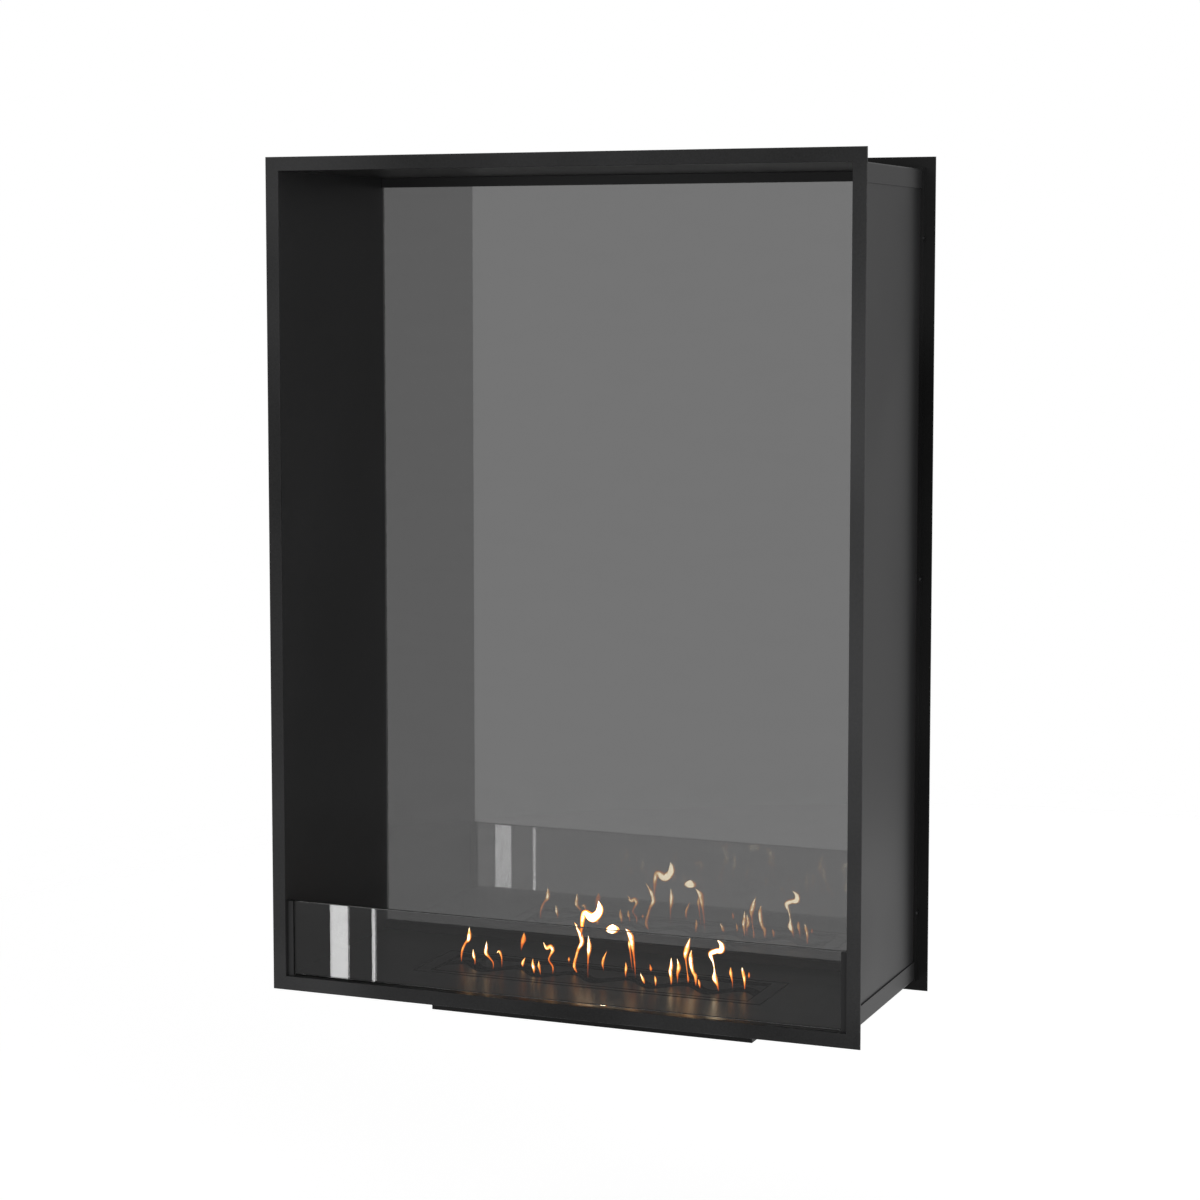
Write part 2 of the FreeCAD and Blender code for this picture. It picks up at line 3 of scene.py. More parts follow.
import bpy
import numpy as np
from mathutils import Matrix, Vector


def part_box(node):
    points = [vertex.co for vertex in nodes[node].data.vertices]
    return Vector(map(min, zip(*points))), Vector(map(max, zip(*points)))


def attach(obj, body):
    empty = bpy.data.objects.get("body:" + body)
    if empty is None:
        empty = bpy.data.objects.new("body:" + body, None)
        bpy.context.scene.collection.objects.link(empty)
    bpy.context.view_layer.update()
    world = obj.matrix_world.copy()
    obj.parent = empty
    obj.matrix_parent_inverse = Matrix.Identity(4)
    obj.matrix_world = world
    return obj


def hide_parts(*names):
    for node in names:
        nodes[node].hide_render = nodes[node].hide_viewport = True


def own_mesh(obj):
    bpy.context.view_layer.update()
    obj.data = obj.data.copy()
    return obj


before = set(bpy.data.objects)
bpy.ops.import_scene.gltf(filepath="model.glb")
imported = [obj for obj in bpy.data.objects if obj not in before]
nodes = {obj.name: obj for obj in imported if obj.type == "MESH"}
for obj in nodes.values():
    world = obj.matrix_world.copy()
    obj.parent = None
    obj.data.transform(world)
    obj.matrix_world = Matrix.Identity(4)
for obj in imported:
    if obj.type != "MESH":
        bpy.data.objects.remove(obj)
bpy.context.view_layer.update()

# Casing: floor pan, two side panels and a top cover of 1.5 mm steel sheet, folded and spot-welded.
# They are sprayed with black satin powder coat and baked, which leaves a fine orange peel, a slow
# change of gloss over a panel and a little dust on what faces up.


def set_inputs(tree, node, inputs):
    """Links each named input of a shader node to a socket, or sets it to a value."""
    for name, value in inputs.items():
        if isinstance(value, bpy.types.NodeSocket):
            tree.links.new(value, node.inputs[name])
        else:
            node.inputs[name].default_value = value


def add(tree, kind, inputs=None, **settings):
    """Adds one shader node. Keywords are its properties, and inputs is as in set_inputs."""
    node = tree.nodes.new(kind)
    for name, value in settings.items():
        setattr(node, name, value)
    set_inputs(tree, node, inputs or {})
    return node


def new_group(name, inputs, outputs):
    """An empty shader node group. inputs maps a name to its default value, outputs lists names."""
    tree = bpy.data.node_groups.new(name, "ShaderNodeTree")
    for label, value in inputs.items():
        kind = "NodeSocketFloat" if isinstance(value, float) else "NodeSocketVector"
        socket = tree.interface.new_socket(label, in_out="INPUT", socket_type=kind)
        socket.default_value = value
    for label in outputs:
        tree.interface.new_socket(label, in_out="OUTPUT", socket_type="NodeSocketFloat")
    return tree, add(tree, "NodeGroupInput").outputs, add(tree, "NodeGroupOutput")


def spread(tree, value, low, high, to_low=0.0, to_high=1.0):
    """Maps low..high smoothly to to_low..to_high and holds the ends."""
    steps = {"Value": value, "From Min": low, "From Max": high, "To Min": to_low, "To Max": to_high}
    return add(tree, "ShaderNodeMapRange", steps, interpolation_type="SMOOTHSTEP").outputs["Result"]


def maths(tree, operation, first, second=0.0):
    return add(tree, "ShaderNodeMath", {0: first, 1: second}, operation=operation).outputs[0]


def vectors(tree, operation, first, second=(0.0, 0.0, 0.0)):
    return add(tree, "ShaderNodeVectorMath", {0: first, 1: second}, operation=operation).outputs[0]


def noise(tree, place, per_metre, detail, fineness=0.5):
    """Cloudy noise of 0 to 1. fineness is how much each finer layer of detail adds."""
    settings = {"Vector": place, "Scale": per_metre, "Detail": detail, "Roughness": fineness}
    return add(tree, "ShaderNodeTexNoise", settings).outputs["Fac"]


ORIGIN = (0.0, 0.0, 0.0)
CLOUD_SHARE, PEEL_SHARE = 0.65, 0.35


def make_coat_surface():
    """Cured powder: fine rounded peel as height, slow clouds as gloss, and both mixed as tone."""
    tree, given, result = new_group(
        "coat_surface", {"Place": ORIGIN, "Peel per metre": 700.0, "Clouds per metre": 4.0,
                         "Clouds moved": ORIGIN}, ["Tone", "Gloss", "Height"])
    peel = noise(tree, given["Place"], given["Peel per metre"], detail=2.0)
    moved = vectors(tree, "ADD", given["Place"], given["Clouds moved"])
    patches = noise(tree, moved, given["Clouds per metre"], detail=2.0, fineness=0.4)
    clouds = spread(tree, patches, 0.3, 0.7)
    tone = maths(tree, "ADD", maths(tree, "MULTIPLY", clouds, CLOUD_SHARE),
                 maths(tree, "MULTIPLY", peel, PEEL_SHARE))
    set_inputs(tree, result, {"Tone": tone, "Gloss": clouds, "Height": peel})
    return tree


def make_settled_dust():
    """Dust lies where the surface faces up, in soft drifts with finer specks in them."""
    tree, given, result = new_group("settled_dust", {"Place": ORIGIN, "Amount": 0.1}, ["Dust"])
    normal = add(tree, "ShaderNodeNewGeometry").outputs["Normal"]
    upward = add(tree, "ShaderNodeSeparateXYZ", {"Vector": normal}).outputs["Z"]
    drifts = spread(tree, noise(tree, given["Place"], 18.0, detail=5.0), 0.35, 0.75)
    specks = spread(tree, noise(tree, given["Place"], 420.0, detail=3.0), 0.42, 0.7, 0.3, 1.0)
    lying = maths(tree, "MULTIPLY", spread(tree, upward, 0.5, 0.95), drifts)
    grains = maths(tree, "MULTIPLY", lying, specks)
    set_inputs(tree, result, {"Dust": maths(tree, "MULTIPLY", grains, given["Amount"])})
    return tree


def make_edge_rub():
    """Rubbed edges of a box: the second smallest distance to its faces, broken up by noise.

    On the box's surface the smallest distance is zero, so the second one is that to the nearest edge.
    """
    tree, given, result = new_group(
        "edge_rub", {"Place": ORIGIN, "Middle": ORIGIN, "Half size": (1.0, 1.0, 1.0), "Width": 0.001},
        ["Rub"])
    from_middle = vectors(tree, "ABSOLUTE", vectors(tree, "SUBTRACT", given["Place"], given["Middle"]))
    inside = vectors(tree, "SUBTRACT", given["Half size"], from_middle)
    x, y, z = add(tree, "ShaderNodeSeparateXYZ", {"Vector": inside}).outputs
    second = maths(tree, "MAXIMUM", maths(tree, "MINIMUM", x, y),
                   maths(tree, "MINIMUM", maths(tree, "MAXIMUM", x, y), z))
    closeness = maths(tree, "SUBTRACT", 1.0, maths(tree, "DIVIDE", second, given["Width"]))
    patches = spread(tree, noise(tree, given["Place"], 60.0, detail=4.0), 0.4, 0.65)
    worn = maths(tree, "MULTIPLY", spread(tree, closeness, 0.0, 1.0), patches)
    set_inputs(tree, result, {"Rub": worn})
    return tree


coat_surface = make_coat_surface()
settled_dust = make_settled_dust()
edge_rub = make_edge_rub()


def new_material(name):
    """A material with its Principled shader, and the place on the piece in the piece's own frame."""
    material = bpy.data.materials.new(name)
    material.use_nodes = True
    tree = material.node_tree
    place = add(tree, "ShaderNodeTexCoord").outputs["Object"]
    return material, tree, tree.nodes["Principled BSDF"], place


def blend_colours(tree, share, first, second):
    """Mixes two colours, each a socket or red, green and blue, by a share of 0 to 1.

    A Mix node has several sockets of each name, so those for colours go by number: 6 and 7, out of 2.
    """
    ends = [(*end, 1.0) if isinstance(end, tuple) else end for end in (first, second)]
    inputs = {"Factor": share, 6: ends[0], 7: ends[1]}
    return add(tree, "ShaderNodeMix", inputs, data_type="RGBA").outputs[2]


def bump(tree, height, depth):
    return add(tree, "ShaderNodeBump", {"Distance": depth, "Height": height}).outputs["Normal"]


def rubbed_edges(tree, place, node, width):
    """The edge_rub mask for the box round a node."""
    low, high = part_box(node)
    box = {"Place": place, "Middle": (low + high) / 2, "Half size": (high - low) / 2, "Width": width}
    return add(tree, "ShaderNodeGroup", box, node_tree=edge_rub).outputs["Rub"]


COAT_DARK, COAT_LIGHT = (0.013, 0.013, 0.0133), (0.019, 0.019, 0.0195)
COAT_GLOSS, COAT_SHINE = (0.29, 0.35), 0.28
COAT_PEEL = (700.0, 6e-6)
# The grey of worn edges, which on the flanges is also a painted edge highlight.
EDGE_WEAR_AND_HIGHLIGHT_GREY, EDGE_WIDTH = (0.045, 0.045, 0.046), 0.001
DUST_GREY, DUST_DULLS = (0.16, 0.155, 0.15), 0.5
DARKENED_BLACK, DARKENED_COAT_INDEX = (0.004, 0.004, 0.004), 1.35


def coated(name, dark, light, gloss, peel=COAT_PEEL, shine=COAT_SHINE, dust=0.08, worn_and_highlit=None,
           darkening_masks=(), clouds=None):
    """Coated sheet steel. gloss holds the roughness of the glossiest and the dullest patches, peel the
    bumps to a metre and their depth. The node given for worn edges has its outer edges turned grey, from
    wear and, on the flanges, also as a painted edge highlight.

    The darkening masks are node groups with a Place input, listed with their settings: a joint line
    paints shade, the gap mask a darker band. Each mask darkens the coat and takes its gloss away, so a
    coat with masks has its gloss as a clear layer. clouds sets the inputs of coat_surface that say how
    large its slow clouds are and how far they are moved.
    """
    material, tree, shader, place = new_material(name)
    peel_per_metre, peel_depth = peel
    powder = {"Place": place, "Peel per metre": peel_per_metre, **(clouds or {})}
    surface = add(tree, "ShaderNodeGroup", powder, node_tree=coat_surface).outputs
    settling = {"Place": place, "Amount": dust}
    dusting = add(tree, "ShaderNodeGroup", settling, node_tree=settled_dust).outputs["Dust"]
    colour = blend_colours(tree, surface["Tone"], dark, light)
    # Grey outer edges: rubbed wear, and on the flanges also a painted edge highlight.
    if worn_and_highlit:
        colour = blend_colours(tree, rubbed_edges(tree, place, worn_and_highlit, EDGE_WIDTH), colour, EDGE_WEAR_AND_HIGHLIGHT_GREY)
    colour = blend_colours(tree, dusting, colour, DUST_GREY)
    glossy = 1.0
    # Each mask darkens the coat to black and dulls it: painted shade in the joints, a darker band along
    # the gap.
    for group, settings in darkening_masks:
        darkening = add(tree, "ShaderNodeGroup", {"Place": place, **settings}, node_tree=group).outputs[0]
        colour = blend_colours(tree, darkening, colour, DARKENED_BLACK)
        glossy = maths(tree, "MULTIPLY", glossy, maths(tree, "SUBTRACT", 1.0, darkening))
    if darkening_masks:
        shine = 0.0
        set_inputs(tree, shader, {
            "Coat Weight": glossy, "Coat IOR": DARKENED_COAT_INDEX, "Coat Roughness": sum(gloss) / 2})
    roughness = spread(tree, surface["Gloss"], 0.0, 1.0, *gloss)
    set_inputs(tree, shader, {
        "Base Color": colour,
        "Roughness": maths(tree, "ADD", roughness, maths(tree, "MULTIPLY", dusting, DUST_DULLS)),
        "Specular IOR Level": shine,
        "Normal": bump(tree, surface["Height"], peel_depth)})
    return material


def dress(material, *names):
    for name in names:
        nodes[name].data.materials.clear()
        nodes[name].data.materials.append(material)


panel_coat = coated("panel_coat", COAT_DARK, COAT_LIGHT, COAT_GLOSS, dust=0.10)
dress(panel_coat, "base_pan", "side_panel_left", "side_panel_right", "top_cover")

# Flange frames: 2 mm angle frames, mitred and welded, that cover the edge of the wall opening. They have
# a smoother coat whose slow clouds, moved into place, paint a sheen of highlights on it: brighter on the
# front one, and darker on the rear one as painted shade. Their outer edges are rubbed grey by handling,
# which also paints a thin edge highlight.
FLANGE_DARK = (0.0015, 0.0015, 0.0015)
FLANGE_GLOSS, FLANGE_PEEL = (0.30, 0.38), (800.0, 5e-6)
FLANGE_SHEEN_CLOUDS = {"Clouds per metre": 3.5, "Clouds moved": (-10.693, 11.724, 9.784)}
# Each flange's lightest coat tone is a painted sheen, kept darker on the rear flange as painted shade.
FLANGES = [
    ("front_flange", (0.053, 0.053, 0.054), 0.18),
    ("rear_flange", (0.018, 0.018, 0.018), 0.12),
]
for flange, painted_sheen, shine in FLANGES:
    flange_coat = coated(flange + "_coat", FLANGE_DARK, painted_sheen, FLANGE_GLOSS, FLANGE_PEEL, shine,
                         dust=0.06, worn_and_highlit=flange, clouds=FLANGE_SHEEN_CLOUDS)
    dress(flange_coat, flange)


# Screws and rivets: chemically blackened steel, turned or pressed, so the heads have fine lathe rings
# and a thin oily sheen, with bare metal starting to show in small scuffs.
def blackened(name, dark, bare):
    material, tree, shader, place = new_material(name)
    scuffs = spread(tree, noise(tree, place, 900.0, detail=5.0), 0.52, 0.72)
    turning = {"Vector": place, "Scale": 500.0, "Distortion": 3.0}
    rings = add(tree, "ShaderNodeTexWave", turning).outputs["Fac"]
    set_inputs(tree, shader, {
        "Base Color": blend_colours(tree, scuffs, dark, bare),
        "Roughness": spread(tree, rings, 0.0, 1.0, 0.28, 0.5),
        "Metallic": 0.8,
        "Normal": bump(tree, rings, 4e-6)})
    return material


fastener_black = blackened("fastener_black", dark=(0.014, 0.014, 0.015), bare=(0.045, 0.045, 0.046))
dress(fastener_black, "rear_flange_screws", "rear_rail_rivets", "screen_holder_rivets")

# Rear glass: a full-height sheet of 4 mm smoked glass in two riveted channels. Black silicone seals
# grip its top and bottom edges, and its own edges are ground to a small chamfer.
RAIL_GLOSS = (0.36, 0.44)
rail_coat = coated("rail_coat", COAT_DARK, COAT_LIGHT, RAIL_GLOSS)
dress(rail_coat, "rear_rail_bottom", "rear_rail_top")


def silicone(name, dark, light):
    material, tree, shader, place = new_material(name)
    bloom = noise(tree, place, 120.0, detail=6.0)
    skin = noise(tree, place, 1800.0, detail=2.0)
    set_inputs(tree, shader, {
        "Base Color": blend_colours(tree, bloom, dark, light),
        "Roughness": spread(tree, bloom, 0.3, 0.7, 0.55, 0.75),
        "Normal": bump(tree, skin, 1e-5)})
    return material


seal_black = silicone("seal_black", dark=(0.010, 0.010, 0.010), light=(0.018, 0.018, 0.018))
dress(seal_black, "rear_seal_bottom", "rear_seal_top", "screen_rests")
GLASS_INDEX, GROUND_WIDTH = 1.7, 0.0012


def smoked(name, node, clear, smear, edge):
    """Body-tinted glass: even in the middle, deeper along its ground edges, with faint wiping marks.

    Its refractive index is above that of plain glass, because both glasses mirror strongly.
    """
    material, tree, shader, place = new_material(name)
    wiping = {"Vector": place, "Rotation": (0.0, 0.5, 0.0), "Scale": (3.0, 3.0, 30.0)}
    sweep = add(tree, "ShaderNodeMapping", wiping).outputs["Vector"]
    streaks = spread(tree, noise(tree, sweep, 4.0, detail=6.0), 0.4, 0.75)
    ground = rubbed_edges(tree, place, node, GROUND_WIDTH)
    set_inputs(tree, shader, {
        "Base Color": blend_colours(tree, ground, blend_colours(tree, streaks, clear, smear), edge),
        "Roughness": 0.0,
        "IOR": GLASS_INDEX,
        "Transmission Weight": 1.0})
    return material


pane_smoke = smoked("pane_smoke", "rear_glass", clear=(0.115, 0.115, 0.115),
                    smear=(0.112, 0.112, 0.112), edge=(0.05, 0.055, 0.05))
dress(pane_smoke, "rear_glass")

# Low screen: 4 mm lightly smoked glass that drops into two folded channels, riveted to the side
# panels, and stands on two soft rests. It keeps draughts and hands from the flames.
HOLDER_GLOSS = (0.34, 0.42)
holder_coat = coated("holder_coat", COAT_DARK, COAT_LIGHT, HOLDER_GLOSS)
dress(holder_coat, "screen_holder_left", "screen_holder_right")
screen_smoke = smoked("screen_smoke", "screen_glass", clear=(0.52, 0.52, 0.52),
                      smear=(0.50, 0.50, 0.50), edge=(0.30, 0.32, 0.31))
dress(screen_smoke, "screen_glass")

# Burner: a folded tank hangs by its rim from a flush collar. Two laser-cut plates under the collar leave
# a wavy flame gap, and the rear one slides to close it. All are heat-proof black. A band along the gap is
# made darker and matt, and the joints round the collar and the opening are painted with shade, dark and
# matt.
WAVE_PITCH, WAVE_HEIGHT = 0.064, 0.012
collar_low, collar_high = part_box("burner_collar")
burner_middle = (collar_low + collar_high) / 2
gap_middle = burner_middle.y


def make_gap_dark_band():
    """A darker band along the wavy gap: a mask of the distance in Y from its middle line, a cosine of X.
    """
    tree, given, result = new_group(
        "gap_dark_band", {"Place": ORIGIN, "Clear": 0.013, "Black": 0.009}, ["Band"])
    x, y = add(tree, "ShaderNodeSeparateXYZ", {"Vector": given["Place"]}).outputs[:2]
    wave = maths(tree, "COSINE", maths(tree, "MULTIPLY", x, 2 * math.pi / WAVE_PITCH))
    line = maths(tree, "SUBTRACT", gap_middle, maths(tree, "MULTIPLY", wave, WAVE_HEIGHT))
    away = maths(tree, "ABSOLUTE", maths(tree, "SUBTRACT", y, line))
    set_inputs(tree, result, {"Band": spread(tree, away, given["Clear"], given["Black"])})
    return tree


def make_joint_line():
    """Shadow in a joint round a rectangle: how near a point is, in plan, to the rectangle's outline.

    The signed distance is the greater of the two overshoots past its half sizes, each divided by its
    own width.
    """
    tree, given, result = new_group(
        "joint_line", {"Place": ORIGIN, "Middle": ORIGIN, "Half size": (1.0, 1.0, 0.0),
                       "Width": (0.0012, 0.004, 1.0)}, ["Line"])
    from_middle = vectors(tree, "ABSOLUTE", vectors(tree, "SUBTRACT", given["Place"], given["Middle"]))
    past = vectors(tree, "SUBTRACT", from_middle, given["Half size"])
    scaled = vectors(tree, "DIVIDE", past, given["Width"])
    x, y = add(tree, "ShaderNodeSeparateXYZ", {"Vector": scaled}).outputs[:2]
    near = maths(tree, "ABSOLUTE", maths(tree, "MAXIMUM", x, y))
    set_inputs(tree, result, {"Line": spread(tree, near, 1.0, 0.6)})
    return tree


gap_dark_band = make_gap_dark_band()
joint_line = make_joint_line()
OPENING_HALF = (0.179, 0.037, 0.0)
collar_half = (collar_high - collar_low) / 2
round_collar = (joint_line, {"Middle": burner_middle, "Half size": (collar_half.x, collar_half.y, 0.0)})
round_opening = (joint_line, {"Middle": burner_middle, "Half size": OPENING_HALF})
SOOT_DARK, SOOT_LIGHT = (0.0065, 0.0065, 0.0066), (0.0125, 0.0122, 0.012)
PLATE_GLOSS, COLLAR_GLOSS = (0.32, 0.42), (0.30, 0.38)
FRAME_GLOSS, FRAME_SHINE = (0.36, 0.48), 0.26
TANK_GLOSS, TANK_SHINE = (0.38, 0.5), 0.20
HEATPROOF_PEEL, COLLAR_PEEL = (500.0, 8e-6), (600.0, 6e-6)
plate_black = coated("plate_black", COAT_DARK, COAT_LIGHT, PLATE_GLOSS, HEATPROOF_PEEL,
                     darkening_masks=[(gap_dark_band, {}), round_opening])
dress(plate_black, "front_flame_plate", "snuffer_plate")
burner_black = coated("burner_black", SOOT_DARK, SOOT_LIGHT, FRAME_GLOSS, HEATPROOF_PEEL, FRAME_SHINE)
dress(burner_black, "burner_seat_frame", "collar_spacer_left", "collar_spacer_right")
collar_black = coated("collar_black", COAT_DARK, COAT_LIGHT, COLLAR_GLOSS, COLLAR_PEEL,
                      darkening_masks=[round_collar, round_opening])
dress(collar_black, "burner_collar")
tank_black = coated("tank_black", SOOT_DARK, SOOT_LIGHT, TANK_GLOSS, HEATPROOF_PEEL, TANK_SHINE,
                    worn_and_highlit="fuel_tank")
dress(tank_black, "fuel_tank")

# Fibre block: pressed ceramic wool that soaks up the fuel in the tank. Its cut faces are slightly
# furry and its edges soft. A slotted cover of brushed stainless sheet holds it down.
WOOL_ROWS, WOOL_COLUMNS = 41, 120
WOOL_ROUNDING, WOOL_FUR = 0.12, 0.01
RIPPLES_ROUND, RIPPLES_UP = 37, 29


def box_shell(low, high, rounding, furry, rows, columns):
    """A soft box: a superellipsoid between two corners, drawn in by a fine ripple.

    Longitude a and latitude b give x = C(a) C(b), y = S(a) C(b), z = S(b), where C and S are cosine
    and sine raised to the power rounding with their signs kept. The ripple is a product of a sine of a
    and a cosine of b, and takes off up to the share furry.
    """
    a = np.linspace(-math.pi, math.pi, columns, endpoint=False)
    b = np.linspace(-math.pi / 2, math.pi / 2, rows)[:, None]

    def power(value):
        return np.sign(value) * np.abs(value) ** rounding

    unit = np.stack([power(np.cos(a)) * power(np.cos(b)), power(np.sin(a)) * power(np.cos(b)),
                     power(np.sin(b)) * np.ones_like(a)], axis=-1)
    ripple = 1.0 - furry * (1.0 + np.sin(RIPPLES_ROUND * a) * np.cos(RIPPLES_UP * b)) / 2
    low, high = np.array(low), np.array(high)
    return (low + high) / 2 + unit * ripple[..., None] * (high - low) / 2


def ring_faces(rows, columns):
    """Quads between rows of points, each row a closed ring of columns points."""
    row, column = np.meshgrid(np.arange(rows - 1), np.arange(columns), indexing="ij")
    after = (column + 1) % columns
    corners = [row * columns + column, row * columns + after,
               (row + 1) * columns + after, (row + 1) * columns + column]
    return np.stack(corners, axis=-1).reshape(-1, 4).tolist()


def shell_faces(rows, columns):
    """The quads between the rings, and a face over the first and the last ring that closes the poles."""
    ring = list(range(columns))
    last = [(rows - 1) * columns + corner for corner in ring]
    return ring_faces(rows, columns) + [ring[::-1], last]


def new_piece(name, points, faces, material):
    """A smooth-shaded mesh object from rows of points."""
    mesh = bpy.data.meshes.new(name)
    mesh.from_pydata(points.reshape(-1, 3), [], faces)
    mesh.polygons.foreach_set("use_smooth", np.full(len(mesh.polygons), True))
    mesh.materials.append(material)
    mesh.validate()
    piece = bpy.data.objects.new(name, mesh)
    bpy.context.scene.collection.objects.link(piece)
    return piece


def wool(name, pale, shade):
    material, tree, shader, place = new_material(name)
    along_x = {"Vector": place, "Scale": (0.25, 1.0, 1.0)}
    lay = add(tree, "ShaderNodeMapping", along_x).outputs["Vector"]
    fibres = noise(tree, lay, 1500.0, detail=8.0)
    patches = noise(tree, place, 25.0, detail=4.0)
    set_inputs(tree, shader, {
        "Base Color": blend_colours(tree, fibres, blend_colours(tree, patches, pale, shade), shade),
        "Roughness": 0.95,
        "Normal": bump(tree, fibres, 2e-4)})
    return material


ceramic_wool = wool("ceramic_wool", pale=(0.74, 0.72, 0.67), shade=(0.5, 0.47, 0.42))
fibre_low, fibre_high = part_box("fibre_block")
wool_points = box_shell(fibre_low, fibre_high, WOOL_ROUNDING, WOOL_FUR, WOOL_ROWS, WOOL_COLUMNS)
wool_block = new_piece("wool_block", wool_points, shell_faces(WOOL_ROWS, WOOL_COLUMNS), ceramic_wool)
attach(wool_block, "burner")
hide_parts("fibre_block")


def brushed(name, pale, shade, straw):
    """Brushed sheet: fine lines along X, and patches of straw colour from the heat."""
    material, tree, shader, place = new_material(name)
    along_x = {"Vector": place, "Scale": (6.0, 900.0, 900.0)}
    grain = add(tree, "ShaderNodeMapping", along_x).outputs["Vector"]
    lines = noise(tree, grain, 3.0, detail=6.0)
    heated = spread(tree, noise(tree, place, 14.0, detail=3.0), 0.4, 0.75)
    set_inputs(tree, shader, {
        "Base Color": blend_colours(tree, lines, blend_colours(tree, heated, pale, straw), shade),
        "Roughness": spread(tree, lines, 0.3, 0.7, 0.25, 0.45),
        "Metallic": 1.0,
        "Normal": bump(tree, lines, 8e-6)})
    return material


stainless_sheet = brushed("stainless_sheet", pale=(0.52, 0.51, 0.5), shade=(0.36, 0.35, 0.34),
                          straw=(0.42, 0.33, 0.22))
dress(stainless_sheet, "fibre_cover")

# Flames: burning vapour that stands in tongues along the middle of the wavy gap, orange and thin at the
# foot and white hot in the head.
FLAMES_FROM, FLAMES_OUT = 0.0003, -0.006
FLAME_DEPTH = 0.6
FLAME_ROWS, FLAME_COLUMNS = 64, 20
